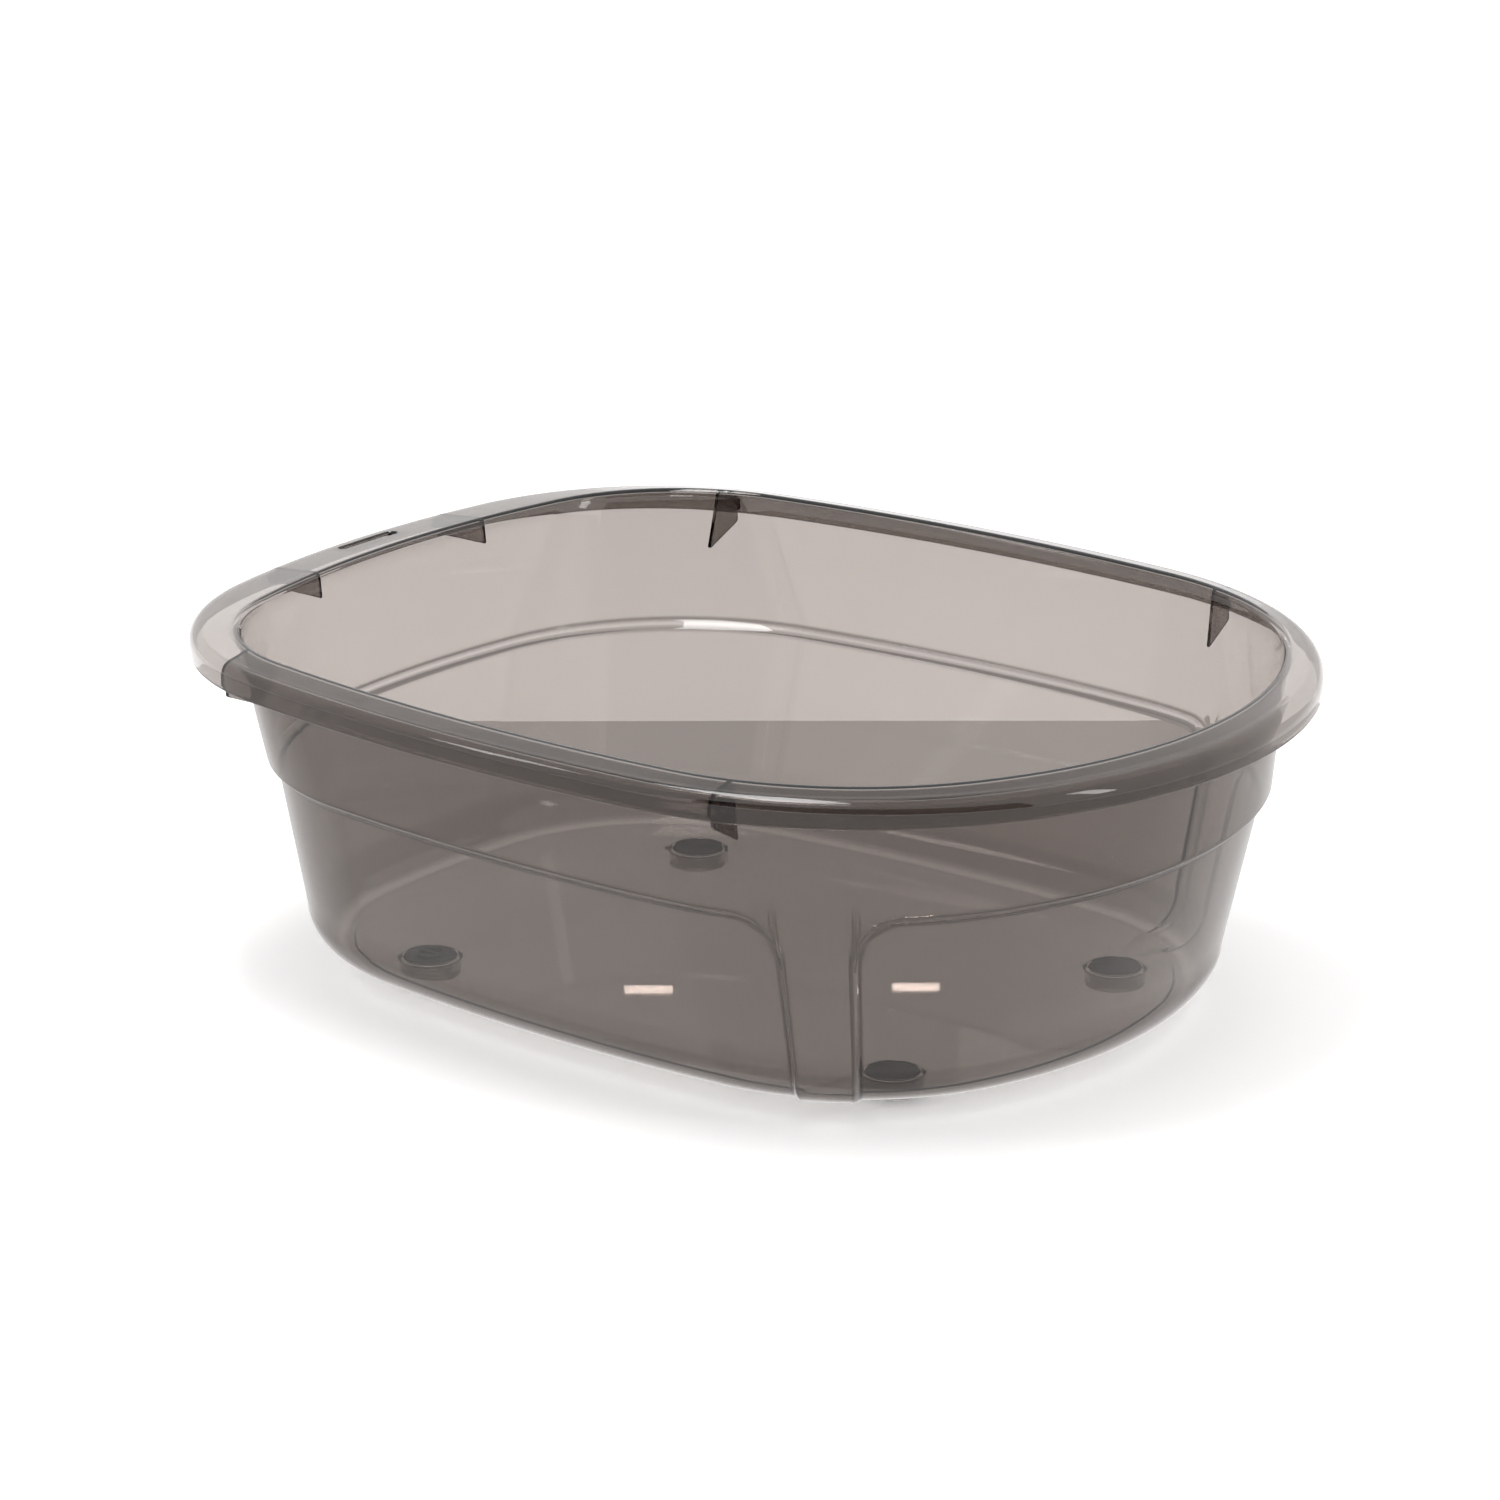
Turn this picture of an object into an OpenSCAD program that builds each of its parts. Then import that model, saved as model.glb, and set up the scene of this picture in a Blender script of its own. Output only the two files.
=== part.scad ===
// Baby bathtub: a clear moulded tub on four hollow feet, closed by soft caps and a drain plug.
// Frame: +X to the round foot end, +Y to the back long side, +Z up. The origin is on the
// ground, under the middle of the rim's length and width.

/* [Overall] */
// Length over the rim, along X
tub_length = 700; // [600:1:840]
// Width over the rim, along Y
tub_width = 560; // [480:1:670]
// Height of the rim's inner edge above the ground
tub_height = 225; // [190:1:270]

/* [Wall] */
// Thickness of the moulded wall and floor
wall_t = 3; // [2.4:0.1:3.6]
// Ledge from the rim's edge to the wall on the long sides
ledge_side = 23; // [20:1:30]
// Ledge at the round end
ledge_round = 26; // [22:1:34]
// Ledge at the head end, where the grip is
ledge_head = 44; // [40:1:54]
// How far the wall leans in from the rim to the shoulder
upper_lean = 8; // [4:0.5:12]
// How far the long sides and the round end lean in from the shoulder to the base
lower_lean = 33; // [24:1:40]
// How far the head end leans in from the shoulder to the base
head_lean = 6.5; // [4:0.5:14]
// Height of the shoulder above the ground
shoulder_h = 138; // [120:1:150]
// Depth of the step that sets the lower panels back
recess = 5.5; // [3:0.5:7]
// Radius of the panels' upper corners, beside the pillars
arch_r = 30; // [20:1:40]
// Radius round the bottom edge, outside
base_r = 29; // [22:1:34]

/* [Rim] */
// Fall of the ledge from its inner edge to its crease
ledge_fall = 3; // [2:0.5:5]
// Radius of the roll from the ledge to the lip
roll_r = 8; // [6:0.5:10]
// Height of the lip's lower edge below the crease
lip_drop = 18; // [14:1:24]
// Thickness of the gussets under the rim
gusset_t = 2.5; // [2:0.1:3]
// Height of a gusset at the wall
gusset_h = 38; // [32:1:44]
// Rise of a gusset's lower edge from the wall to the lip
gusset_rise = 12; // [6:1:16]
// Height of the grip's two gussets
grip_gusset_h = 17; // [14:1:20]
// Distance of the grip's two gussets from the middle
grip_half = 80; // [70:1:90]
// Length of the hanging slot
slot_l = 52; // [40:1:64]
// Width of the hanging slot
slot_w = 9; // [6:0.5:12]

/* [Feet] */
// Height of the floor's upper face above the ground
floor_h = 13.5; // [12:0.5:18]
// Outer diameter of a foot
foot_d = 38; // [34:1:46]
// Distance of the head end's feet from the middle
foot_x_head = 163; // [140:1:180]
// Distance between the head end's feet
foot_gap_head = 264; // [230:1:280]
// Distance of the round end's feet from the middle
foot_x_round = 185; // [160:1:195]
// Distance between the round end's feet
foot_gap_round = 230; // [200:1:240]
// Thickness of a soft cap and of the drain plug
cap_t = 5; // [4:0.5:6]
// Radial clearance of a cap or the plug in its seat
cap_clear = 0.05; // [0.02:0.01:0.1]
// Diameter of the drain's outlet
outlet_d = 20; // [16:1:22]
// Outer diameter of the plug's finger ring
ring_d = 18; // [14:1:22]

/* [Hidden] */
$fn = 64;

// Radii of the outline's long and end arcs, which keep their share of the tub's size
side_r = 1.787 * tub_length;
round_r = 0.857 * tub_length / 2;
head_r = 1.186 * tub_width;
// The widest section lies a little nearer the round end
wide_x = 0.03 * tub_length;
bottom_h = floor_h - wall_t;
crease_h = tub_height - ledge_fall;
edge_r = wall_t;             // rounding of the wall's top into the ledge
step_h = recess;             // height over which the shoulder steps in
seat_r = foot_d / 2 - 2.5;   // seat of a cap, in the mouth of its foot
well_r = seat_r - 2;         // hollow of the foot below the seat
foot_floor = 2.5;            // bottom of a foot
slot_x = -(tub_length - ledge_head) / 2 - 1;

// An outline is [round end x, head end x, half width, corner radius round end, head end],
// each distance measured from the middle
rim_line = [tub_length / 2, tub_length / 2, tub_width / 2, 0.443 * tub_width, 0.327 * tub_width];
top_line = rim_line - [ledge_round, ledge_head, ledge_side, 48, 58];
shoulder_line = top_line - [upper_lean + 1, upper_lean - 2, upper_lean, -5, -45];
bottom_line = shoulder_line - [lower_lean - recess + 4, head_lean, lower_lean - recess + 5, 42, 7];

// Columns of the mesh, as angles of the outline's normal from the end arc round to the side
pillar_from = 53;
pillar_to = 66;
round_cols = concat([0 : 9 : 35], [42, 48, pillar_from - 1, pillar_from + 1, 59.5,
    pillar_to - 1, pillar_to + 1], [72 : 6 : 84], [86.5, 88.3]);
head_cols = concat([0, 3, 6, 9, 13], [20 : 8 : 76], [81, 84.5, 87, 88.7]);
function each_of(v) = [for (a = v) each a];
round_angles = each_of(round_cols);
head_angles = each_of(head_cols);

function mix(a, b, t) = a + (b - a) * t;
function reversed(v) = [for (i = [len(v) - 1 : -1 : 0]) v[i]];

// Centre of the corner arc that touches the side arc and the end arc from inside
function corner(a, b, rc, re) =
    let (side_c = [0, b - side_r], end_c = [a - re, 0], gap = norm(end_c - side_c),
         r1 = side_r - rc, r2 = re - rc,
         along = (r1 * r1 - r2 * r2 + gap * gap) / (2 * gap),
         across = sqrt(max(0, r1 * r1 - along * along)), u = (end_c - side_c) / gap)
    side_c + along * u + across * [u.y, -u.x];

// Point of a quarter outline whose normal stands at angle t, moved inwards by off
function quarter(a, b, rc, re, off, t) =
    let (c = corner(a, b, rc, re), n = [cos(t), sin(t)],
         to_side = atan2(c.y - b + side_r, c.x), to_end = atan2(c.y, c.x - a + re))
    t >= to_side ? [0, b - side_r] + (side_r - off) * n
    : t <= to_end ? [a - re, 0] + (re - off) * n
    : c + (rc - off) * n;

// Point of a whole outline: col is [angle, along X, along Y] with signs for its quarter
function outline_point(line, off, col) =
    let (p = col[1] > 0 ? quarter(line[0] - wide_x, line[2], line[3], round_r, off, col[0])
                        : quarter(line[1] + wide_x, line[2], line[4], head_r, off, col[0]))
    [wide_x + col[1] * p.x, col[2] * p.y];

columns = concat(
    [for (t = round_angles) [t, 1, 1]], [[90, 1, 1]],
    [for (t = reversed(head_angles)) [t, -1, 1]],
    [for (i = [1 : len(head_angles) - 1]) [head_angles[i], -1, -1]], [[90, 1, -1]],
    [for (i = [len(round_angles) - 1 : -1 : 1]) [round_angles[i], 1, -1]]);

// The wall's outer face at height z
function wall_line(z) = z > shoulder_h
    ? mix(shoulder_line, top_line, (z - shoulder_h) / (tub_height - shoulder_h))
    : mix(bottom_line, shoulder_line, (z - bottom_h) / (shoulder_h - bottom_h));

// How far a column lies outside the pillar, in millimetres along the corner
function past_pillar(col) = col[1] < 0 ? 1000
    : max(pillar_from - col[0], col[0] - pillar_to) * PI / 180 * shoulder_line[3];
function set_back(col) = past_pillar(col) > 0 ? recess : 0;
function arch(col) = let (s = min(max(past_pillar(col), 0), arch_r))
    arch_r - sqrt(arch_r * arch_r - (arch_r - s) * (arch_r - s));
function shoulder_z(col) = shoulder_h - (past_pillar(col) > 0 ? arch(col) : arch_r);

// Rows of points, each one function of the column
function ring(line, off, z) = [for (c = columns) concat(outline_point(line, off, c), z)];
function wall_row(dz, set, off) = [for (c = columns) let (z = shoulder_z(c) + dz)
    concat(outline_point(wall_line(z), off + set * set_back(c), c), z)];
function low_row(z, off) = [for (c = columns)
    concat(outline_point(wall_line(z), off + set_back(c), c), z)];
function base_row(r, off, low, t) = [for (c = columns)
    concat(outline_point(wall_line(bottom_h + base_r), off + set_back(c) + r * (1 - cos(t)), c),
           low + r * (1 - sin(t)))];

inner_rows = concat(
    [for (t = [90 : -22.5 : 22.5]) base_row(base_r - wall_t, wall_t, floor_h, t)],
    [low_row(bottom_h + base_r, wall_t), wall_row(-step_h / 2, 1, wall_t),
     wall_row(step_h / 2, 0, wall_t), ring(top_line, wall_t, tub_height - edge_r),
     ring(top_line, wall_t - 0.3 * edge_r, tub_height - 0.3 * edge_r),
     ring(top_line, wall_t - edge_r, tub_height)]);
rim_rows = concat(
    [for (t = [0 : 30 : 90]) ring(rim_line, roll_r * (1 - sin(t)), crease_h - roll_r * (1 - cos(t)))],
    [ring(rim_line, 0, crease_h - lip_drop), ring(rim_line, wall_t, crease_h - lip_drop)],
    [for (t = [90 : -45 : 0]) ring(rim_line, roll_r - (roll_r - wall_t) * sin(t),
        crease_h - wall_t - (roll_r - wall_t) * (1 - cos(t)))]);
outer_rows = concat(
    [ring(top_line, 0, tub_height - wall_t), wall_row(step_h / 2, 0, 0),
     wall_row(-step_h / 2, 1, 0), low_row(bottom_h + base_r, 0)],
    [for (t = [22.5 : 22.5 : 90]) base_row(base_r, 0, bottom_h, t)]);

// Closed skin through the rows, with a fan round a middle point as each of its ends
module skin(rows) {
    n = len(rows[0]);
    last = (len(rows) - 1) * n;
    points = concat(each_of(rows), [[0, 0, rows[0][0].z], [0, 0, rows[len(rows) - 1][0].z]]);
    first_mid = last + n;
    strips = [for (r = [0 : n : last - 1], i = [0 : n - 1]) let (a = r + i, b = r + (i + 1) % n)
        each [[a, b, a + n], [b, b + n, a + n]]];
    ends = [for (i = [0 : n - 1]) let (j = (i + 1) % n)
        each [[first_mid, j, i], [first_mid + 1, last + i, last + j]]];
    polyhedron(points, concat(strips, ends));
}

// Distance of a whole outline from the X axis at x, and from the Y axis at y on the head end
function y_at(line, x) = let (right = x > wide_x, d = abs(x - wide_x),
    a = right ? line[0] - wide_x : line[1] + wide_x, rc = right ? line[3] : line[4],
    c = corner(a, line[2], rc, right ? round_r : head_r),
    touch = c.x * side_r / (side_r - rc))
    d > touch ? c.y + sqrt(rc * rc - (d - c.x) * (d - c.x))
              : line[2] - side_r + sqrt(side_r * side_r - d * d);
function head_x_at(line, y) = line[1] - head_r + sqrt(head_r * head_r - y * y);

// Web between the wall and the lip, in the plane from the rim's edge inwards. Its lower edge
// runs from the height foot at the wall to the height tip at the lip.
module gusset(rim_out, wall_top, wall_low, foot, tip) {
    into = wall_t / 2;
    low = max(tip, crease_h - lip_drop + 1);
    rotate([90, 0, 0]) translate([0, 0, -gusset_t / 2]) linear_extrude(gusset_t)
        polygon([[rim_out - into, low], [rim_out - into, crease_h - roll_r],
            [rim_out - roll_r, crease_h - into], [wall_top - into, tub_height - into],
            [wall_low - into, foot], [wall_low, foot], [rim_out - wall_t - 1, tip],
            [rim_out - wall_t - 1, low]]);
}

gusset_xs = [166, -222] * tub_length / 700;
side_foot = tub_height - gusset_h;
grip_foot = tub_height - grip_gusset_h;
feet = [[-foot_x_head, foot_gap_head / 2], [-foot_x_head, -foot_gap_head / 2],
    [foot_x_round, foot_gap_round / 2], [foot_x_round, -foot_gap_round / 2]];
drain = feet[1];

module tub() color([0.55, 0.52, 0.5, 0.5]) difference() {
    union() {
        skin(concat(inner_rows, rim_rows, outer_rows));
        for (x = gusset_xs, s = [1, -1]) translate([x, 0, 0]) rotate([0, 0, s * 90])
            gusset(y_at(rim_line, x), y_at(top_line, x), y_at(wall_line(side_foot), x),
                side_foot, side_foot + gusset_rise);
        for (s = [1, -1]) translate([0, s * grip_half, 0]) rotate([0, 0, 180])
            gusset(head_x_at(rim_line, grip_half), head_x_at(top_line, grip_half),
                head_x_at(wall_line(grip_foot), grip_half), grip_foot, grip_foot - 0.5);
        for (f = feet) translate([f.x, f.y, 0]) cylinder(r = foot_d / 2, h = floor_h - 1);
    }
    for (f = feet) translate([f.x, f.y, 0]) {
        translate([0, 0, floor_h - cap_t]) cylinder(r = seat_r, h = cap_t + 1);
        translate([0, 0, foot_floor]) cylinder(r = well_r, h = floor_h);
    }
    translate([drain.x, drain.y, -1]) cylinder(r = outlet_d / 2, h = floor_h);
    hull() for (s = [1, -1]) translate([slot_x, s * (slot_l - slot_w) / 2, crease_h - roll_r])
        cylinder(r = slot_w / 2, h = 2 * roll_r, $fn = 32);
}

// Soft cap that closes a foot level with the floor, set in the seat at the mouth of the hollow
module foot_cap(at) color([0.2, 0.2, 0.21]) translate([at.x, at.y, floor_h - cap_t])
    cylinder(r = seat_r - cap_clear, h = cap_t);

module foot_cap_head_back() foot_cap(feet[0]);
module foot_cap_round_back() foot_cap(feet[2]);
module foot_cap_round_front() foot_cap(feet[3]);

// Stopper that lifts straight out, with a finger ring and a bar across its dish
module drain_plug() color([0.2, 0.2, 0.21]) translate([drain.x, drain.y, floor_h]) {
    bar = 2.4;
    difference() {
        union() {
            translate([0, 0, -cap_t]) cylinder(r = seat_r - cap_clear, h = cap_t);
            cylinder(r = ring_d / 2, h = bar);
        }
        translate([0, 0, -cap_t / 2]) cylinder(r = ring_d / 2 - bar, h = cap_t + bar);
    }
    translate([-ring_d / 2 + bar / 2, -bar / 2, -cap_t / 2]) cube([ring_d - bar, bar, cap_t / 2 + bar]);
}

tub();
foot_cap_head_back();
foot_cap_round_back();
foot_cap_round_front();
drain_plug();
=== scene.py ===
# %% [markdown]
# # A clear baby bathtub
# The tub is one smoky clear moulding with a turned-down rim, set-back lower panels and four hollow
# feet. Three feet are closed by soft dark caps and the fourth by a lift-out drain plug. The packed
# CAD model gives the frame. Each piece below is worked out as a numpy surface in the same frame and
# replaces its plain CAD node.

# %% Load the frame
import math
import bpy
import numpy as np
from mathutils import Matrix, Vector
from mathutils.geometry import delaunay_2d_cdt


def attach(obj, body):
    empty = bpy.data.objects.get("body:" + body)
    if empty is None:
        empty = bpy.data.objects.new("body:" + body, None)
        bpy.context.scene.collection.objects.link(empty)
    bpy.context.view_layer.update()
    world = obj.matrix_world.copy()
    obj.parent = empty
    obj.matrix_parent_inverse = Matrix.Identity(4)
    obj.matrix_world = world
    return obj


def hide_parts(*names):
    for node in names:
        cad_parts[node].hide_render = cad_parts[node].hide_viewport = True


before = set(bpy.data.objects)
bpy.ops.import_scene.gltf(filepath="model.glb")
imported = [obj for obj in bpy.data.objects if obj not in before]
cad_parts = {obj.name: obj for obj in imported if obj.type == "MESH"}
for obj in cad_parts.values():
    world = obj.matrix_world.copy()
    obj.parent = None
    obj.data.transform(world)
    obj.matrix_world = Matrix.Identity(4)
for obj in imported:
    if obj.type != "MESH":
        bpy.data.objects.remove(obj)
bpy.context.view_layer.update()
MM = 0.001
print("nodes:", sorted(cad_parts))

# %% [markdown]
# ## Camera
# A long lens from far away keeps the tub's ellipse-like rim calm, as in a product picture. The camera
# stands in front and to the right, a little above the rim, so it looks into the basin.

# %% Camera
camera_data = bpy.data.cameras.new("camera")
camera_data.lens = 148.6
camera_data.sensor_width = 36.0
camera_data.clip_end = 60.0
camera = bpy.data.objects.new("camera", camera_data)
camera.location = (2.2544, -2.8693, 1.3315)
aim = Vector((-0.0085, -0.0067, 0.1462)) - camera.location
camera.rotation_euler = aim.to_track_quat("-Z", "Y").to_euler()
bpy.context.scene.collection.objects.link(camera)
bpy.context.scene.camera = camera
print("camera distance", round(aim.length, 3))

# %% [markdown]
# ## Making a mesh from arrays
# Every shape here is a grid of points: rows along a profile and columns round the tub. One helper
# turns rows of points into faces, and another puts points and faces into a mesh.

# %% Grid and mesh helpers
def grid_faces(first, rows, cols):
    """Quads between neighbours: face (r, c) joins points r*cols+c, (r+1)*cols+c and the next column."""
    r, c = np.meshgrid(np.arange(rows - 1), np.arange(cols), indexing="ij")
    near, far = r * cols, (r + 1) * cols
    nxt = (c + 1) % cols
    quads = np.stack([near + c, far + c, far + nxt, near + nxt], -1).reshape(-1, 4)
    return first + quads


def make_object(name, points, faces, flat=(), sharp=40.0):
    """Points in millimetres and lists of faces become one object. The faces numbered in flat keep hard
    shading."""
    mesh = bpy.data.meshes.new(name)
    mesh.from_pydata((np.asarray(points) * MM).tolist(), [], [list(map(int, f)) for f in faces])
    mesh.set_sharp_from_angle(angle=math.radians(sharp))
    smooth = np.ones(len(mesh.polygons), bool)
    smooth[list(flat)] = False
    mesh.polygons.foreach_set("use_smooth", smooth)
    mesh.update()
    obj = bpy.data.objects.new(name, mesh)
    bpy.context.scene.collection.objects.link(obj)
    return obj


def signed_volume(obj):
    """Sum over the faces of (area vector . centre) / 3, in litres: positive where faces point outwards."""
    faces = obj.data.polygons
    area = np.empty(len(faces))
    normal, centre = np.empty(len(faces) * 3), np.empty(len(faces) * 3)
    faces.foreach_get("area", area)
    faces.foreach_get("normal", normal)
    faces.foreach_get("center", centre)
    return float((area * (normal * centre).reshape(-1, 3).sum(1)).sum() / 3 * 1000)


# %% [markdown]
# ## The tub's outlines
# Seen from above, every level of the tub is an oval of eight arcs: a long flat arc on each side, a
# rounder one at each end and a tight one in each corner. All arcs meet without a kink. A point is
# found from the angle of its normal, so the same column of the mesh follows every level.

# %% Outlines of the rim, the ledge, the shoulder and the base
WALL = 3.0
HEIGHT, CREASE, LIP = 225.0, 222.0, 18.0
SHOULDER, RECESS, ARCH = 138.0, 5.5, 30.0
FLOOR, BASE_R = 13.5, 29.0
UNDER = FLOOR - WALL
WIDE_X = 21.0
SIDE_R, ROUND_R, HEAD_R = 1250.9, 299.95, 664.2
PILLAR = (53.0, 66.0)

# round end, head end, half width, corner radius at the round end and at the head end
RIM = np.array([350.0, 350.0, 280.0, 248.0, 183.0])
TOP = np.array([324.0, 306.0, 257.0, 200.0, 125.0])
SHOULDER_LINE = np.array([315.0, 300.0, 249.0, 205.0, 170.0])
BASE_LINE = np.array([283.5, 293.5, 216.5, 163.0, 163.0])
PILLAR_R = SHOULDER_LINE[3]


def corner_centre(a, b, rc, re):
    """Centre of the corner arc inside both the side arc and the end arc: where two circles cross."""
    sx, sy = 0 * a, b - SIDE_R
    ex, ey = a - re, 0 * a
    gap = np.hypot(ex - sx, ey - sy)
    r1, r2 = SIDE_R - rc, re - rc
    along = (r1**2 - r2**2 + gap**2) / (2 * gap)
    across = np.sqrt(np.maximum(r1**2 - along**2, 0))
    ux, uy = (ex - sx) / gap, (ey - sy) / gap
    return sx + along * ux + across * uy, sy + along * uy - across * ux


def quarter(a, b, rc, re, off, angle):
    """Centre of the arc that owns this normal angle, plus its radius less off along the normal."""
    cx, cy = corner_centre(a, b, rc, re)
    to_side = np.arctan2(cy - b + SIDE_R, cx)
    to_end = np.arctan2(cy, cx - a + re)
    side, end = angle >= to_side, angle <= to_end
    ox = np.where(side, 0, np.where(end, a - re, cx))
    oy = np.where(side, b - SIDE_R, np.where(end, 0, cy))
    r = np.where(side, SIDE_R, np.where(end, re, rc)) - off
    return ox + r * np.cos(angle), oy + r * np.sin(angle)


def outline(line, off, cols):
    """Quarter points turned into the whole oval by each column's two signs."""
    angle, sx, sy = cols
    a = np.where(sx > 0, line[0] - WIDE_X, line[1] + WIDE_X)
    rc = np.where(sx > 0, line[3], line[4])
    re = np.where(sx > 0, ROUND_R, HEAD_R)
    x, y = quarter(a, line[2] + 0 * a, rc, re, off, angle)
    return WIDE_X + sx * x, sy * y

# %% [markdown]
# ## Columns round the tub
# Columns stand at equal steps along the rim, with more of them where the lower panels end beside the
# two smooth pillars, because that edge is tight.

# %% Columns
def quarter_angles(line, sx, count, extra):
    """Normal angles whose points lie at equal distances along the outline, joined with the extra ones."""
    t = np.radians(np.linspace(0, 90, 4001))
    x, y = outline(line, 0, (t, 0 * t + sx, 0 * t + 1))
    run = np.concatenate([[0], np.cumsum(np.hypot(np.diff(x), np.diff(y)))])
    even = np.interp(np.linspace(0, run[-1], count), run, t)
    return np.unique(np.round(np.concatenate([even, extra]), 7))


STEP = np.array([-6, -4.2, -3.4, -3.0, -2.5, -2.0, -1.6, -0.8, 0, 0.8, 1.6, 2.0, 2.5, 3.0, 3.4, 4.2, 6])
past = np.concatenate([STEP[1:], np.arange(7, 34, 1.7)]) / PILLAR_R
pillar_edges = np.concatenate([np.radians(PILLAR[0]) - past, np.radians(PILLAR[1]) + past])
round_angles = quarter_angles(RIM, 1, 92, pillar_edges)
head_angles = quarter_angles(RIM, -1, 104, [])
angle = np.concatenate([round_angles, head_angles[::-1][1:], head_angles[1:], round_angles[::-1][1:-1]])
n1, n2 = len(round_angles), len(head_angles)
sign_x = np.concatenate([np.ones(n1), -np.ones(2 * n2 - 2), np.ones(n1 - 2)])
sign_y = np.concatenate([np.ones(n1 + n2 - 1), -np.ones(n2 + n1 - 3)])
COLS = (angle, sign_x, sign_y)
N = len(angle)
print("columns:", N)

# %% [markdown]
# ## Panels, shoulder and pillars
# The lower wall steps in below a shoulder line all the way round, except on two upright pillars
# towards the round end. The step is a distance field: how deep a point lies inside a panel whose
# upper corners are round.

# %% Where the wall sets back
def past_pillar():
    """Distance of each column outside the pillar, in millimetres along the corner."""
    away = np.maximum(np.radians(PILLAR[0]) - angle, angle - np.radians(PILLAR[1])) * PILLAR_R
    return np.where(sign_x > 0, away, 1000.0)


SIDEWAYS = past_pillar()
reach = np.clip(SIDEWAYS, 0, ARCH)
shoulder_z = SHOULDER - (ARCH - np.sqrt(ARCH**2 - (ARCH - reach) ** 2))


def ramp(x, width, radius):
    """0 before 0 and 1 after width, straight between, with both corners rounded by a parabola."""
    def bend(v):
        return np.where(v < -radius, 0, np.where(v > radius, v, (v + radius) ** 2 / (4 * radius)))
    return (bend(x) - bend(x - width)) / width


def set_back(z, width=5.0, radius=0.9):
    """RECESS times a rounded ramp of the distance inside the panel's round-cornered edge."""
    down = SHOULDER - z
    rounded = ARCH - np.hypot(np.maximum(ARCH - SIDEWAYS, 0), np.maximum(ARCH - down, 0))
    inside = np.where((SIDEWAYS < ARCH) & (down < ARCH), rounded, np.minimum(SIDEWAYS, down))
    return RECESS * ramp(inside + width / 2, width, radius)


def wall_line(z):
    """The outline at height z: a straight mix of the base and the shoulder, or the shoulder and the top."""
    z = np.broadcast_to(z, (N,))
    low = np.clip((z - UNDER) / (SHOULDER - UNDER), 0, 1)
    high = np.clip((z - SHOULDER) / (HEIGHT - SHOULDER), 0, 1)
    return BASE_LINE[:, None] + low * (SHOULDER_LINE - BASE_LINE)[:, None] \
        + high * (TOP - SHOULDER_LINE)[:, None]


def row(line, off, z):
    """One row of the mesh: an outline's points with their height."""
    if line.ndim == 1:
        line = np.repeat(line[:, None], N, 1)
    x, y = outline(line, off, COLS)
    return np.stack([x, y, np.broadcast_to(z, (N,))], -1)


def wall_row(z, depth):
    """A row on the wall, depth inside its outer face."""
    return row(wall_line(z), depth + set_back(z), z)

# %% [markdown]
# ## The skin as one profile
# The profile starts at the floor's edge inside, climbs the inner wall, turns out over the
# ledge, rolls down into the lip, turns back under it and comes down outside to the base. A real
# wall thickness matters here: light bends in and out of it, and that draws the dark and bright lines.

# %% Rows of the skin
def base_rows(radius, depth, low, degrees):
    """A quarter round from the wall down to the floor, between the angles given."""
    line = wall_line(UNDER + BASE_R)
    back = set_back(np.full(N, UNDER + BASE_R))
    t = np.radians(degrees)
    return [row(line, depth + back + radius * (1 - math.cos(a)), low + radius * (1 - math.sin(a)))
            for a in t]


def wall_rows(depth):
    """Rows up the wall, close together across the shoulder's step."""
    start = UNDER + BASE_R
    low = [start + f * (shoulder_z - 6 - start) for f in np.linspace(0, 1, 9)[:-1]]
    mid = [shoulder_z + d for d in STEP]
    edge = HEIGHT - 5
    high = [shoulder_z + 6 + f * (edge - shoulder_z - 6) for f in np.linspace(0, 1, 10)[1:]]
    return [wall_row(z, depth) for z in low + mid + high]


def ease_ends(side, end):
    """A value for each column that is end at both ends of the tub and side along its sides."""
    return side + (end - side) * np.cos(angle) ** 4


roll = ease_ends(8.0, 13.0)
inner = base_rows(BASE_R - WALL, WALL, FLOOR - 0.9, np.linspace(88, 4, 15)) + wall_rows(WALL)
floor_edge = [row(wall_line(UNDER + BASE_R),
                  WALL + set_back(np.full(N, UNDER + BASE_R)) + (BASE_R - WALL) + d, FLOOR - drop)
              for d, drop in ((1.4, 0.0), (1.1, 0.12), (0.7, 0.75), (0.4, 0.9))]
turn = [row(TOP, WALL - 4 + 4 * math.cos(a), HEIGHT - 4 + 4 * math.sin(a))
        for a in np.radians(np.linspace(0, 90, 9))]


def ledge_rows(depth, count):
    """Rows across the ledge, a straight mix of the wall's turn and the roll's start, sunk by depth."""
    start, end = row(TOP, -1 - 0.3, HEIGHT - depth), row(RIM, roll, CREASE - depth)
    return [start + f * (end - start) for f in np.linspace(0, 1, count)]


def roll_rows(depth, count, low):
    """The quarter round from the ledge down to the lip, then the lip straight down."""
    t = np.radians(np.linspace(0, 90, count))
    rolled = [row(RIM, roll - (roll - depth) * math.sin(a), CREASE - roll + (roll - depth) * math.cos(a))
              for a in t]
    lip = [row(RIM, depth, CREASE - roll + f * (low - CREASE + roll)) for f in (0.3, 0.6, 1.0)]
    return rolled + lip


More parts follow.
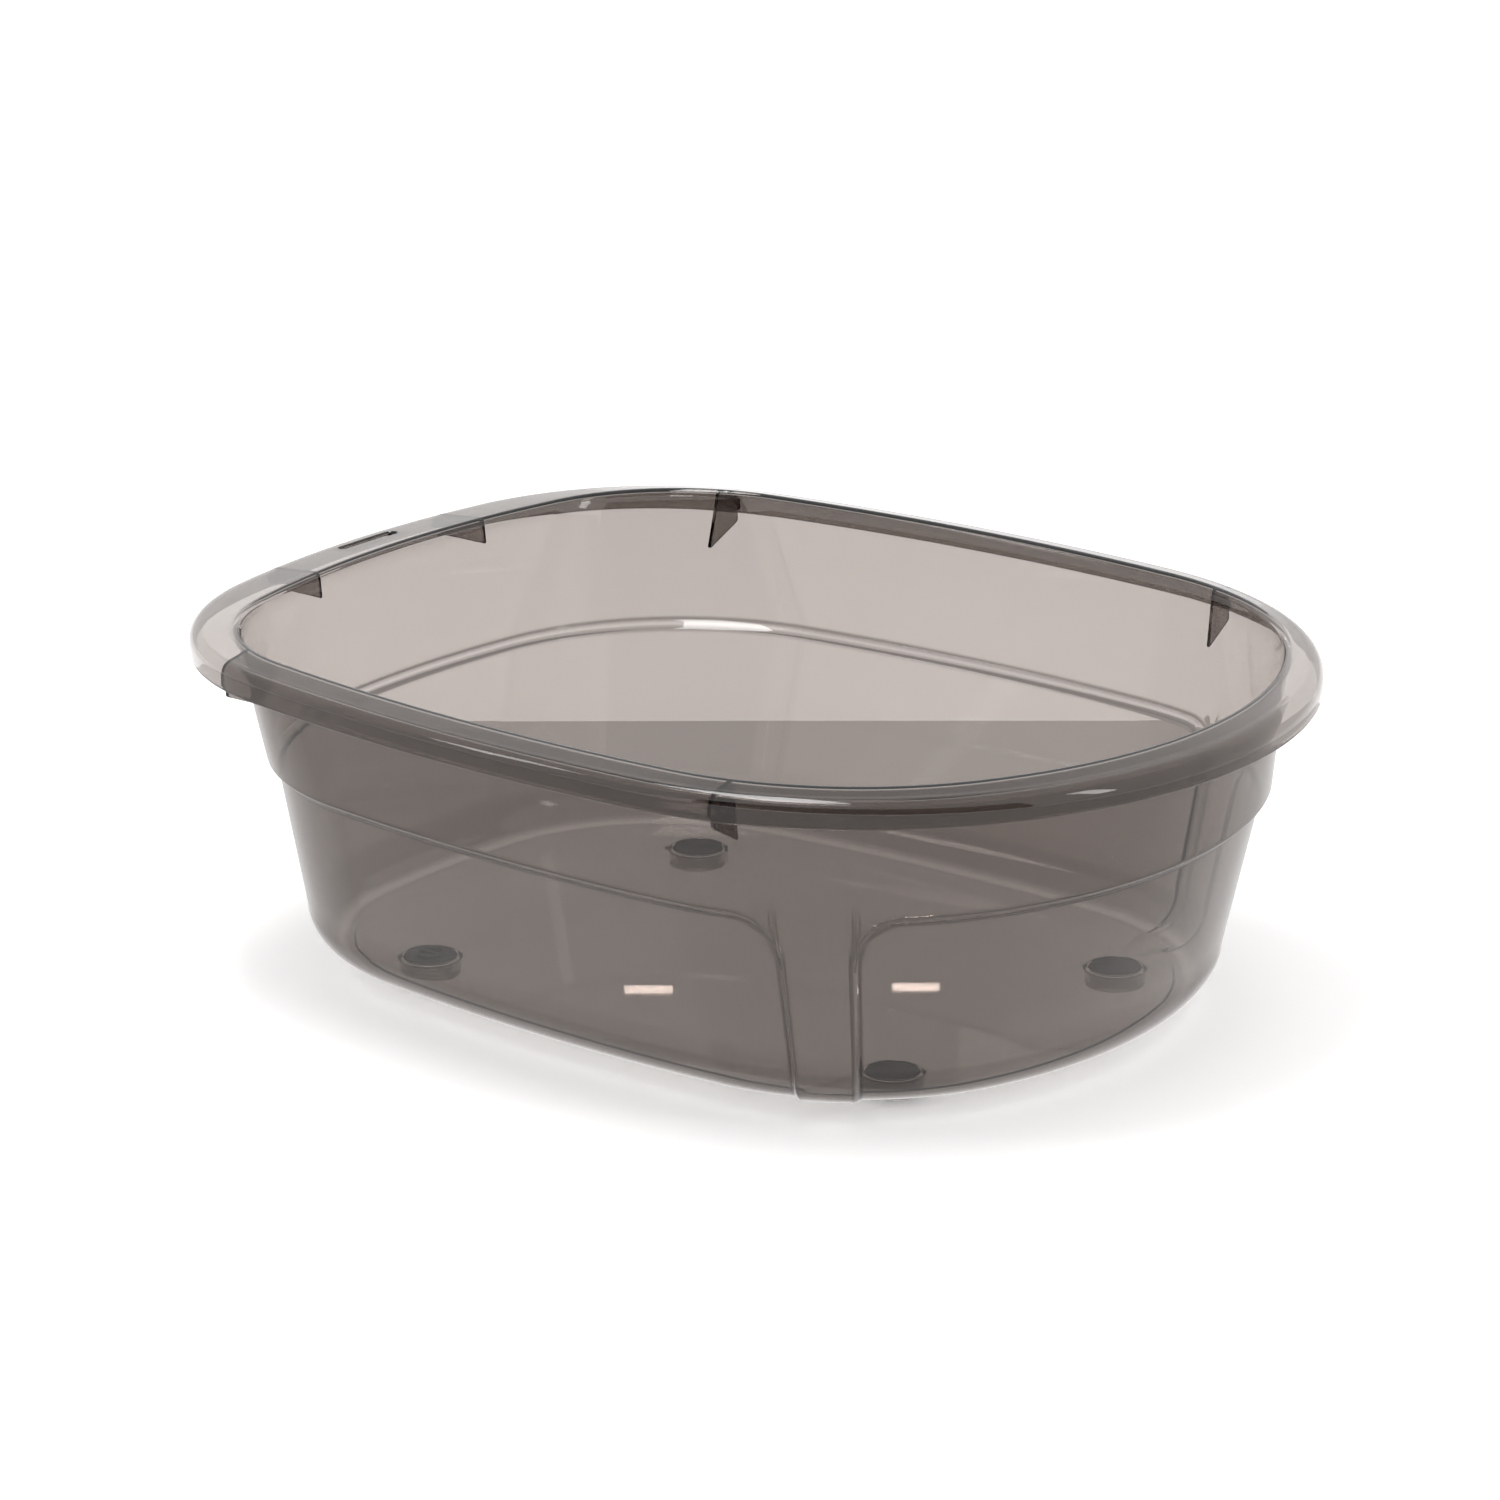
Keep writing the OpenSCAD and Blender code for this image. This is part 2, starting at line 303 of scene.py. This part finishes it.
lip_low = CREASE - LIP
lip_edge = [row(RIM, WALL / 2 - WALL / 2 * math.cos(a), lip_low + WALL / 2 - WALL / 2 * math.sin(a))
            for a in np.radians(np.linspace(20, 160, 7))]
over = ledge_rows(0, 8) + roll_rows(0, 12, lip_low + WALL / 2)[1:] + lip_edge
under = roll_rows(WALL, 9, lip_low + WALL / 2)[::-1] + ledge_rows(WALL, 6)[::-1][1:-1]
fillet = [row(TOP, -1.2 + 1.2 * math.sin(a), HEIGHT - WALL - 1.2 + 1.2 * math.cos(a))
          for a in np.radians(np.linspace(0, 80, 6))]
outer = wall_rows(0.0)[::-1] + base_rows(BASE_R, 0.0, UNDER, np.linspace(4, 90, 14))
rows = np.array(floor_edge + inner + turn + over + under + fillet + outer)
print("rows:", len(rows), "points:", rows.shape[0] * N)

# %% [markdown]
# Tinted plastic looks deeper where light runs along inside a bend. So each point keeps how sharply
# the skin turns there, and the material paints its tint darker there: painted shade for the dark
# lines that light draws in the bends.

# %% Painted shade along the bends
SHORTEST = 0.5
FULL_BEND = 1 / 14
# Painted shade: how much darker the tint is painted on the lip, at the floor's edge and on every point past
# the skin (feet, slot and webs).
LIP_SHADE, FLOOR_EDGE_SHADE, PLATE_SHADE = 0.32, 0.75, 0.5


def sharpness(p):
    """Change of the unit normal between a point's neighbours over their distance, per millimetre,
    taken along the rows and across them."""
    n = np.cross(np.gradient(p, axis=0), np.roll(p, -1, 1) - np.roll(p, 1, 1))
    n /= np.linalg.norm(n, axis=2, keepdims=True)
    along = np.zeros(p.shape[:2])
    reach = np.maximum(np.linalg.norm(p[2:] - p[:-2], axis=2), SHORTEST)
    along[1:-1] = np.linalg.norm(n[2:] - n[:-2], axis=2) / reach
    reach = np.maximum(np.linalg.norm(np.roll(p, -1, 1) - np.roll(p, 1, 1), axis=2), SHORTEST)
    across = np.linalg.norm(np.roll(n, -1, 1) - np.roll(n, 1, 1), axis=2) / reach
    return np.hypot(along, across)


# Painted shade: how strongly each part's bends are darkened.
share = [(floor_edge, 1.0), (inner, 0.5), (turn, 0.3), (over, 0.15), (under, 0.15), (fillet, 0.3),
         (outer, 0.8)]
weight = np.concatenate([np.full(len(part), w) for part, w in share])[:, None]
depth = weight * np.clip(sharpness(rows) / FULL_BEND, 0, 1)
first_ledge = len(floor_edge + inner + turn)
lip_rows = slice(first_ledge + 17, first_ledge + len(over) + 4)
# Painted shade: the lip gets at least a set darkening, and the floor's edge a fixed one, drawn as dark
# lines.
depth[lip_rows] = np.maximum(depth[lip_rows], LIP_SHADE)
depth[:len(floor_edge) + 2] = FLOOR_EDGE_SHADE
print("mean depth:", round(float(depth.mean()), 3))

# %% [markdown]
# ## Hollow feet
# Each foot is a cup moulded down from the floor. Its mouth has a seat for the soft cap, and its
# bottom is closed, apart from the drain's, which has an outlet. A cup is a profile turned about its
# axis. Its first ring and its last are also rims of holes in the floor's two faces.

# %% Feet
FEET = np.array([[-163.0, 132.0], [-163.0, -132.0], [185.0, 115.0], [185.0, -115.0]])
DRAIN = 1
TURNS = 96


def turned(profile, at, turns=TURNS):
    """Radius and height pairs carried round a vertical axis at (x, y), one ring for each pair."""
    p = np.asarray(profile, float)
    t = np.arange(turns) * 2 * math.pi / turns
    x = at[0] + p[:, :1] * np.cos(t)
    y = at[1] + p[:, :1] * np.sin(t)
    return np.stack([x, y, np.broadcast_to(p[:, 1:], x.shape)], -1)


SEAT = [(17.4, FLOOR), (17.2, FLOOR - 0.15), (16.6, FLOOR - 0.75), (16.5, FLOOR - 1.0), (16.5, FLOOR - 4.9),
        (16.4, FLOOR - 5), (14.6, FLOOR - 5), (14.5, FLOOR - 5.1)]
SHAFT = [(14.5, 3.5), (14.2, 2.8), (13.5, 2.5)]
SKIRT = [(18.4, 0.1), (18.8, 0.4), (19.0, 0.9), (19.0, 9.2), (19.4, 10.1), (20.3, UNDER)]

# %% Join the skin and the feet
points = [rows.reshape(-1, 3)]
skin = grid_faces(0, len(rows), N)
faces = []
top_loops, under_loops = [np.arange(N)], [(len(rows) - 1) * N + np.arange(N)]
count = len(points[0])
for i, at in enumerate(FEET):
    bottom = [(10.0, 2.5), (10.0, 0.0)] if i == DRAIN else [(6.0, 2.5), (0.4, 2.5)]
    back = [(17.6, 0.0)] if i == DRAIN else [(0.4, 0.0), (8.0, 0.0), (17.6, 0.0)]
    cup = turned(SEAT + SHAFT + bottom + back + SKIRT, at)
    links = grid_faces(count, len(cup), TURNS)
    if i != DRAIN:
        last = len(SEAT + SHAFT + bottom) - 1
        links = np.delete(links, np.arange(last * TURNS, (last + 1) * TURNS), axis=0)
        pole = count + last * TURNS + np.arange(TURNS)
        faces += [pole.tolist(), (pole + TURNS)[::-1].tolist()]
    faces += links[:, ::-1].tolist()
    top_loops.append(count + np.arange(TURNS))
    under_loops.append(count + (len(cup) - 1) * TURNS + np.arange(TURNS))
    points.append(cup.reshape(-1, 3))
    count += cup.shape[0] * TURNS
points = np.concatenate(points)


def fill(loops, upwards, open_at):
    """Triangles between an outer loop and the loops inside it: a Delaunay net seen from above,
    less the triangles whose middles lie where open_at says."""
    index = np.concatenate(loops)
    links, first = [], 0
    for loop in loops:
        n = len(loop)
        links += [(first + k, first + (k + 1) % n) for k in range(n)]
        first += n
    net = delaunay_2d_cdt([Vector(p) for p in points[index, :2].tolist()], links, [], 1, 1e-6)
    tris = np.array([[net[3][v][0] for v in f] for f in net[2]])
    middle = points[index][tris].mean(1)[:, :2]
    tris = index[tris[~open_at(middle)]]
    return (tris if upwards else tris[:, ::-1]).tolist()


def over_feet(radius):
    """A test that is true inside a many-sided ring of this radius round any foot's axis."""
    return lambda middle: np.linalg.norm(middle[:, None] - FEET[None], axis=2).min(1) < 0.999 * radius


floor_faces = fill(top_loops, True, over_feet(SEAT[0][0]))
floor_faces += fill(under_loops, False, over_feet(SKIRT[-1][0]))
print("cup and floor faces:", len(faces), len(floor_faces))

# %% [markdown]
# ## Hanging slot
# A slot with round ends goes through the grip. The ledge is nearly flat there, so a patch of its two
# faces is taken out and filled again round the slot's loop, and a short wall with bevels joins them.

# %% Cut the slot
SLOT_X, SLOT_HALF, SLOT_R, BEVEL = -329.0, 21.5, 4.5, 0.7
PATCH_HALF, SLOT_POINTS = 36, 80
near_slot = np.flatnonzero((sign_x < 0) & (np.abs(rows[len(rows) // 2, :, 1]) < PATCH_HALF))
last_roll = first_ledge + len(over) + len(roll_rows(WALL, 9, 0)) - 1


def stadium(radius, z):
    """Two half circles a slot's length apart, as one loop, with heights z(x, y)."""
    t = (np.arange(SLOT_POINTS) + 0.5) * 2 * math.pi / SLOT_POINTS
    x, y = SLOT_X + radius * np.cos(t), radius * np.sin(t) + SLOT_HALF * np.sign(np.sin(t))
    return np.stack([x, y, z(x, y)], -1)


def patch(r0, r1):
    """The loop round the rows r0 to r1, and a height that is a + b*x + c*y^2 fitted to its points."""
    j0, j1 = near_slot[0], near_slot[-1]
    c, r = np.arange(j0, j1 + 1), np.arange(r0, r1 + 1)
    loop = np.concatenate([r0 * N + c, r[1:] * N + j1, (r1 * N + c[::-1])[1:], (r[::-1] * N + j0)[1:-1]])
    p = points[loop]
    fit = np.linalg.lstsq(np.c_[np.ones(len(p)), p[:, 0], p[:, 1] ** 2], p[:, 2], rcond=None)[0]
    drop = (r[:-1, None] * N + c[None, :-1]).ravel()
    return loop, drop, lambda x, y: fit[0] + fit[1] * x + fit[2] * y * y


def over_slot(middle):
    """True inside the slot's bevelled edge: nearer than its radius to the slot's middle line. The factor
    lies between the middles of the thin triangles inside the many-sided edge and its flat sides."""
    dy = np.maximum(np.abs(middle[:, 1]) - SLOT_HALF, 0)
    return np.hypot(middle[:, 0] - SLOT_X, dy) < 0.9985 * (SLOT_R + BEVEL)


top_loop, top_drop, top_z = patch(first_ledge + 1, first_ledge + 7)
low_loop, low_drop, low_z = patch(last_roll, last_roll + 4)
rings = [stadium(SLOT_R + BEVEL, top_z), stadium(SLOT_R, lambda x, y: top_z(x, y) - BEVEL),
         stadium(SLOT_R, lambda x, y: low_z(x, y) + BEVEL), stadium(SLOT_R + BEVEL, low_z)]
count = len(points)
points = np.concatenate([points] + rings)
skin = np.delete(skin, np.concatenate([top_drop, low_drop]), axis=0)
faces += grid_faces(count, 4, SLOT_POINTS)[:, ::-1].tolist()
faces += fill([top_loop, count + np.arange(SLOT_POINTS)], True, over_slot)
faces += fill([low_loop, count + 3 * SLOT_POINTS + np.arange(SLOT_POINTS)], False, over_slot)
print("slot patch columns:", len(near_slot), "ledge height at the slot:", round(float(top_z(SLOT_X, 0)), 2))

# %% [markdown]
# ## Gussets
# Six thin webs stiffen the rim between the wall and the lip. Each is a flat plate whose foot slants up
# towards the lip. Its edges are buried a little in the wall, the ledge and the lip, as one moulding.

# %% Webs
def rim_y(line, x):
    """Half width of an outline at x, read from its finely spaced points."""
    t = np.radians(np.linspace(0, 90, 2001))
    sx = 1.0 if x > WIDE_X else -1.0
    px, py = outline(np.repeat(line[:, None], t.size, 1), 0, (t, 0 * t + sx, 0 * t + 1))
    order = np.argsort(px)
    return float(np.interp(x, px[order], py[order]))


def rim_x(line, y):
    """Distance of the head end's arc from the Y axis at y."""
    return float(line[1] - HEAD_R + math.sqrt(HEAD_R**2 - y * y))


PLATE_BEVEL = 0.35


def prism(loop, half, place):
    """A flat loop of (out, up) given thickness 2*half, with its edges bevelled on both faces, and put in
    place as a whole array. Faces are turned round if place has mirrored them."""
    p = np.asarray(loop, float)
    n = len(p)
    ahead, behind = np.roll(p, -1, 0) - p, p - np.roll(p, 1, 0)
    ahead /= np.linalg.norm(ahead, axis=1)[:, None]
    behind /= np.linalg.norm(behind, axis=1)[:, None]
    turnward = ahead - behind
    size = np.maximum(np.linalg.norm(turnward, axis=1)[:, None], 1e-6)
    cross = behind[:, :1] * ahead[:, 1:] - behind[:, 1:] * ahead[:, :1]
    inset = p + PLATE_BEVEL * np.sign(cross) * turnward / size
    layers = [(inset, -half), (p, PLATE_BEVEL - half), (p, half - PLATE_BEVEL), (inset, half)]
    solid = place(np.concatenate([np.c_[q[:, 0], np.full(n, s), q[:, 1]] for q, s in layers]))
    k = np.arange(n)
    made = grid_faces(0, 4, n).tolist() + [k.tolist(), (k + 3 * n)[::-1].tolist()]
    centre = solid.mean(0)
    corners = [solid[f[:3]] - centre for f in made]
    if sum(float(np.dot(c[0], np.cross(c[1], c[2]))) for c in corners) < 0:
        made = [f[::-1] for f in made]
    return solid, made


SIDE_FOOT, GRIP_FOOT = HEIGHT - 38.0, HEIGHT - 17.0
SIDE_RISE, GRIP_RISE = 12.0, -0.5
WEB_HALF, GRIP_HALF = 1.25, 80.0


def web(spot, foot, tip, place):
    """The plate's loop: lip, roll, ledge's underside, wall, and a lower edge from foot to tip."""
    rim, top, wall = spot
    low = max(tip + 1.5, lip_low + 2.5)
    loop = [(rim - 1.4, low), (rim - 1.5, CREASE - 9), (rim - 4, CREASE - 3.5), (rim - 9, CREASE - 1.5),
            (top - 0.5, HEIGHT - 1.6), (top - 1.4, HEIGHT - 8), (wall - 1.4, foot + 0.5),
            (wall - 1.0, foot), (wall + 0.4, foot + 0.1), (rim - 5.0, tip - 0.3), (rim - 4.2, tip + 0.9),
            (rim - 4.2, low)]
    return prism(loop, WEB_HALF, place)


def on_side(x, s):
    """Places a web at x, outwards to the side with sign s."""
    return lambda p: np.c_[x + p[:, 1], s * p[:, 0], p[:, 2]]


def on_head(s):
    """Places a web beside the grip, outwards past the head end."""
    return lambda p: np.c_[-p[:, 0], s * GRIP_HALF + p[:, 1], p[:, 2]]


webs = []
for x in (166.0, -222.0):
    spot = (rim_y(RIM, x), rim_y(TOP, x), rim_y(wall_line(SIDE_FOOT)[:, 0], x))
    webs += [web(spot, SIDE_FOOT, SIDE_FOOT + SIDE_RISE, on_side(x, s)) for s in (1, -1)]
spot = (rim_x(RIM, GRIP_HALF), rim_x(TOP, GRIP_HALF), rim_x(wall_line(GRIP_FOOT)[:, 0], GRIP_HALF))
webs += [web(spot, GRIP_FOOT, GRIP_FOOT + GRIP_RISE, on_head(s)) for s in (1, -1)]
for solid, made in webs:
    faces += [(np.asarray(f) + len(points)).tolist() for f in made]
    points = np.concatenate([points, solid])
faces = skin.tolist() + faces
flat_faces = range(len(faces), len(faces) + len(floor_faces))
tub = make_object("clear_tub", points, faces + floor_faces, flat_faces, sharp=38)
# Painted shade per point: the bend values on the skin and one plate value on the feet, slot and webs,
# stored as the "depth" attribute.
bend_shade_per_point = np.full(len(points), PLATE_SHADE)
bend_shade_per_point[:depth.size] = depth.ravel()
tub.data.attributes.new("depth", "FLOAT", "POINT").data.foreach_set("value", bend_shade_per_point.astype(np.float32))
print("tub faces:", len(tub.data.polygons), "litres of plastic:", round(signed_volume(tub), 3))

# %% [markdown]
# ## Soft caps and the drain plug
# A cap is a disc with a small bevel and a faint dish. The plug adds a raised finger ring and a bar
# across it. Both are turned profiles, and the bar is a rounded block between the ring's walls.

# %% Caps and plug
CAP_R = 16.45


def turned_solid(name, profile, at):
    """A turned profile that starts and ends near the axis, with both ends closed by one face."""
    rings = turned(profile, at)
    n = len(rings)
    k = np.arange(TURNS)
    body = grid_faces(0, n, TURNS)[:, ::-1].tolist()
    ends = [k[::-1].tolist(), (k + (n - 1) * TURNS).tolist()]
    return make_object(name, rings.reshape(-1, 3), body + ends, sharp=50)


def disc(dish):
    """Underside, edge with its bevels and a top that sinks by dish towards the middle."""
    low = FLOOR - 5
    return [(0.3, low), (CAP_R - 0.5, low), (CAP_R - 0.15, low + 0.15), (CAP_R, low + 0.5),
            (CAP_R, FLOOR - 0.6), (CAP_R - 0.15, FLOOR - 0.2), (CAP_R - 0.6, FLOOR),
            (CAP_R - 2.2, FLOOR), (CAP_R - 2.6, FLOOR - dish), (0.3, FLOOR - dish)]


caps = [turned_solid(name, disc(0.35), FEET[i])
        for name, i in (("soft_cap_head_back", 0), ("soft_cap_round_back", 2), ("soft_cap_round_front", 3))]
ring = disc(0.3)[:-1]
ring += [(9.4, FLOOR - 0.3), (9.1, FLOOR), (9.0, FLOOR + 1.7), (8.6, FLOOR + 2.3), (7.9, FLOOR + 2.4),
         (7.2, FLOOR + 2.3), (6.8, FLOOR + 1.7), (6.6, FLOOR - 2.0), (6.2, FLOOR - 2.5), (0.3, FLOOR - 2.5)]
plug_disc = turned_solid("plug_disc", ring, FEET[DRAIN])
across = [(-1.2, FLOOR - 2.7), (1.2, FLOOR - 2.7), (1.2, FLOOR + 1.4), (0.9, FLOOR + 2.0),
          (0.0, FLOOR + 2.2), (-0.9, FLOOR + 2.0), (-1.2, FLOOR + 1.4)]
bar = make_object("plug_bar", *prism(across, 7.0, lambda p: np.c_[p[:, 1], p[:, 0], p[:, 2]]
                                     + np.array([FEET[DRAIN][0], FEET[DRAIN][1], 0])))
join = plug_disc.modifiers.new("join_bar", "BOOLEAN")
join.operation, join.solver, join.object = "UNION", "EXACT", bar
bpy.context.view_layer.update()
plug_mesh = bpy.data.meshes.new_from_object(plug_disc.evaluated_get(bpy.context.evaluated_depsgraph_get()))
plug_mesh.set_sharp_from_angle(angle=math.radians(50))
plug = bpy.data.objects.new("lift_out_plug", plug_mesh)
bpy.context.scene.collection.objects.link(plug)
for o in (plug_disc, bar):
    bpy.data.objects.remove(o)
print("caps and plug in millilitres:", [round(signed_volume(o) * 1000, 2) for o in caps + [plug]])

# %% [markdown]
# ## Shader maths
# One small class wraps a node socket, so that a pattern reads as a sum in Python. Nodes of any other
# kind come from one method.

# %% Shader expressions
class Value:
    def __init__(self, tree, socket):
        self.tree, self.socket = tree, socket

    def _math(self, operation, other):
        node = self.tree.nodes.new("ShaderNodeMath")
        node.operation = operation
        self.tree.links.new(self.socket, node.inputs[0])
        if isinstance(other, Value):
            self.tree.links.new(other.socket, node.inputs[1])
        else:
            node.inputs[1].default_value = other
        return Value(self.tree, node.outputs[0])

    def __add__(self, other):
        return self._math("ADD", other)

    def __mul__(self, other):
        return self._math("MULTIPLY", other)

    __radd__, __rmul__ = __add__, __mul__


class Finish:
    """A material with one Principled surface, and one method that makes any node."""

    def __init__(self, name, **constants):
        self.material = bpy.data.materials.new(name)
        self.material.use_nodes = True
        self.tree = self.material.node_tree
        self.surface = self.tree.nodes["Principled BSDF"]
        for key, value in constants.items():
            self.surface.inputs[key.replace("_", " ")].default_value = value
        self.place = self.node("ShaderNodeTexCoord", out="Object")

    def node(self, kind, settings=None, out=0, **inputs):
        made = self.tree.nodes.new(kind)
        for key, value in (settings or {}).items():
            setattr(made, key, value)
        for key, value in inputs.items():
            slot = made.inputs[key.replace("_", " ")]
            if isinstance(value, Value):
                self.tree.links.new(value.socket, slot)
            else:
                slot.default_value = value
        return Value(self.tree, made.outputs[out])

    def noise(self, scale, detail=3.0, rough=0.5):
        return self.node("ShaderNodeTexNoise", Vector=self.place, Scale=scale, Detail=detail,
                         Roughness=rough)

    def blend(self, factor, low, high):
        mix = self.tree.nodes.new("ShaderNodeMix")
        mix.data_type = "RGBA"
        self.tree.links.new(factor.socket, mix.inputs[0])
        for slot, colour in ((mix.inputs[6], low), (mix.inputs[7], high)):
            if isinstance(colour, Value):
                self.tree.links.new(colour.socket, slot)
            else:
                slot.default_value = (*colour, 1)
        return Value(self.tree, mix.outputs[2])

    def feed(self, name, value):
        self.tree.links.new(value.socket, self.surface.inputs[name])

    def put_on(self, *objects):
        for o in objects:
            o.data.materials.clear()
            o.data.materials.append(self.material)

# %% [markdown]
# ## Smoky clear plastic
# The moulding is clear with a grey-brown tint. Light is tinted each time it goes through a wall, so
# the near and far walls add up. The tint varies slowly. Along the bends it is painted darker, as
# painted shade for the dark lines that light draws there. In the floor it is painted clearer, as
# painted light, so that the near side, where two layers add up, doesn't turn too dark. Slow waves from
# the mould bend what is seen through the walls. The polish is even, so its roughness is one value on
# the shader.

# %% Clear plastic
plastic = Finish("smoky_clear_plastic", Transmission_Weight=1.0, IOR=1.5, Roughness=0.0)
waves = plastic.noise(7.0, 2.0)
clear = plastic.blend(plastic.noise(5.0), (0.355, 0.318, 0.297), (0.395, 0.357, 0.335))
# Painted light: the floor's tint is painted clearer than the walls', so the near side, seen through two
# layers, doesn't turn too dark.
height = plastic.node("ShaderNodeSeparateXYZ", out=2, Vector=plastic.place)
FLOOR_FADE = ((FLOOR + 2.0) * MM, (FLOOR + 0.5) * MM)
floor_painted_light = plastic.node("ShaderNodeMapRange", Value=height, From_Min=FLOOR_FADE[0], From_Max=FLOOR_FADE[1])
clear = plastic.blend(floor_painted_light, clear, (0.86, 0.83, 0.81))
# Painted shade: the "depth" attribute darkens the tint along the bends, on the lip, at the floor's edge and
# on the feet, slot and webs.
painted_bend_shade = plastic.node("ShaderNodeAttribute", {"attribute_name": "depth"}, out=2)
plastic.feed("Base Color", plastic.blend(painted_bend_shade, clear, (0.10, 0.083, 0.074)))
plastic.feed("Normal", plastic.node("ShaderNodeBump", Strength=0.012, Distance=0.001, Height=waves))
plastic.put_on(tub)

# %% [markdown]
# ## Soft dark rubber
# The caps and the plug are matt and nearly black. A fine grain breaks up their shine, and a little
# pale dust lies unevenly on them.

# %% Rubber
rubber = Finish("soft_dark_rubber", IOR=1.45)
grain = rubber.noise(900.0, 3.0, 0.6)
dust = rubber.noise(60.0, 4.0, 0.6)
rubber.feed("Base Color", rubber.blend(dust, (0.012, 0.012, 0.013), (0.035, 0.033, 0.033)))
rubber.feed("Roughness", 0.42 + dust * 0.25)
rubber.feed("Normal", rubber.node("ShaderNodeBump", Strength=0.25, Distance=0.0004, Height=grain))
rubber.put_on(plug, *caps)

# %% Bodies, with the plain CAD nodes hidden
for obj, node, slot, body in ((tub, "tub", "clear_plastic", "tub_body"),
                              (caps[0], "foot_cap_head_back", "dark_rubber", "tub_body"),
                              (caps[1], "foot_cap_round_back", "dark_rubber", "tub_body"),
                              (caps[2], "foot_cap_round_front", "dark_rubber", "tub_body"),
                              (plug, "drain_plug", "dark_rubber", "plug_body")):
    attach(obj, body)
    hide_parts(node)

# %% [markdown]
# ## Studio
# White floor and surroundings. Two sheets show only to rays that pass through the plastic or glance off
# it. One is a pale grey one on the table, which glows evenly instead of being lit, as painted light under
# the tub where the plastic would shade it. The other is a dark card behind the camera that draws dark lines
# in the bends. A little glow in the floor keeps the tub's shadow faint.

# %% Floor and sheets
FLOOR_COLOUR, SHEET_GLOW_COLOUR, CARD_COLOUR = (0.97, 0.97, 0.97), (0.90, 0.885, 0.88), (0.03, 0.03, 0.03)
FLOOR_GLOW = 0.2
FLOOR_HALF, FLOOR_Z, SHEET_Z = 30.0, -0.002, -0.001
SHEET_NEAR, SHEET_FAR, SHEET_HALF = -2.0, 0.52, 2.0
CARD_AWAY, CARD_HALF, CARD_TOP = -4.6, 4.5, 3.6


def plane(name, corners, colour, only_through_glass=False):
    """A flat quad kept out of the object. The floor is matt with a faint glow. A sheet seen only
    through the plastic is black and glows with its colour instead of being lit, as painted light.
    """
    mesh = bpy.data.meshes.new(name)
    mesh.from_pydata([tuple(c) for c in corners], [], [(0, 1, 2, 3)])
    obj = bpy.data.objects.new(name, mesh)
    bpy.context.scene.collection.objects.link(obj)
    paint = bpy.data.materials.new(name)
    paint.use_nodes = True
    surface = paint.node_tree.nodes["Principled BSDF"].inputs
    surface["Roughness"].default_value = 0.9
    surface["Specular IOR Level"].default_value = 0.0
    # Painted light: a sheet seen only through the plastic glows with its colour instead of being lit; the
    # floor glows faintly.
    surface["Base Color"].default_value = (0, 0, 0, 1) if only_through_glass else (*colour, 1)
    surface["Emission Color"].default_value = (*colour, 1) if only_through_glass else (1, 1, 1, 1)
    surface["Emission Strength"].default_value = 1.0 if only_through_glass else FLOOR_GLOW
    mesh.materials.append(paint)
    if only_through_glass:
        obj.visible_camera = obj.visible_diffuse = obj.visible_shadow = False


def stage_point(ahead, across, up):
    """A point by its distances along the camera's view over the ground, to its side, and up."""
    return look * ahead + side * across + Vector((0, 0, up))


look = Vector((aim.x, aim.y, 0)).normalized()
side = Vector((-look.y, look.x, 0))
h = FLOOR_HALF
plane("floor", [(-h, -h, FLOOR_Z), (h, -h, FLOOR_Z), (h, h, FLOOR_Z), (-h, h, FLOOR_Z)], FLOOR_COLOUR)
sheet = [(SHEET_NEAR, SHEET_HALF), (SHEET_NEAR, -SHEET_HALF), (SHEET_FAR, -SHEET_HALF),
         (SHEET_FAR, SHEET_HALF)]
plane("glowing_table_sheet", [stage_point(*p, SHEET_Z) for p in sheet], SHEET_GLOW_COLOUR, only_through_glass=True)
card = [(-CARD_HALF, 0), (CARD_HALF, 0), (CARD_HALF, CARD_TOP), (-CARD_HALF, CARD_TOP)]
plane("dark_card", [stage_point(CARD_AWAY, *p) for p in card], CARD_COLOUR, only_through_glass=True)
print("stage planes stand along", [round(v, 3) for v in look])

# %% [markdown]
# The surroundings are plain white. Three soft boxes lay streaks on the rim, and two small low ones stand
# where the basin's floor mirrors them to the camera as short bright marks. None of them lights matt
# surfaces, so the floor stays even.

# %% Surroundings and soft boxes
world = bpy.data.worlds.new("studio")
bpy.context.scene.world = world
world.use_nodes = True
world.node_tree.nodes["Background"].inputs["Color"].default_value = (1, 1, 1, 1)
world.node_tree.nodes["Background"].inputs["Strength"].default_value = 1.0


def soft_box(name, place, target, size, power):
    """A rectangular lamp that faces its target."""
    lamp = bpy.data.lights.new(name, "AREA")
    lamp.shape = "RECTANGLE"
    lamp.size, lamp.size_y = size
    lamp.energy = power
    lamp.diffuse_factor = 0.0
    obj = bpy.data.objects.new(name, lamp)
    obj.location = place
    obj.rotation_euler = (Vector(target) - Vector(place)).to_track_quat("-Z", "Y").to_euler()
    bpy.context.scene.collection.objects.link(obj)


soft_box("overhead_box", (-0.3, -0.2, 2.2), (-0.1, 0, 0.2), (1.6, 0.6), 25)
soft_box("left_strip", (-1.5, -1.7, 1.5), (0, 0, 0.2), (0.24, 0.8), 3)
soft_box("right_strip", (2.3, 0.4, 1.3), (0, 0, 0.2), (0.25, 1.0), 4)
MARK_DISTANCE = 2.4
for x, y in ((-0.018, -0.099), (0.112, 0.011)):
    mark = Vector((x, y, FLOOR * MM))
    away = (mark - camera.location).normalized()
    away.z = -away.z
    soft_box("low_strip", mark + away * MARK_DISTANCE, mark, (0.05, 0.008), 0.035)

# %% [markdown]
# ## Finish
# Colours are shown as they are, without a film look.

# %% View and finish
scene = bpy.context.scene
scene.view_settings.view_transform = "Standard"
scene.view_settings.look = "None"
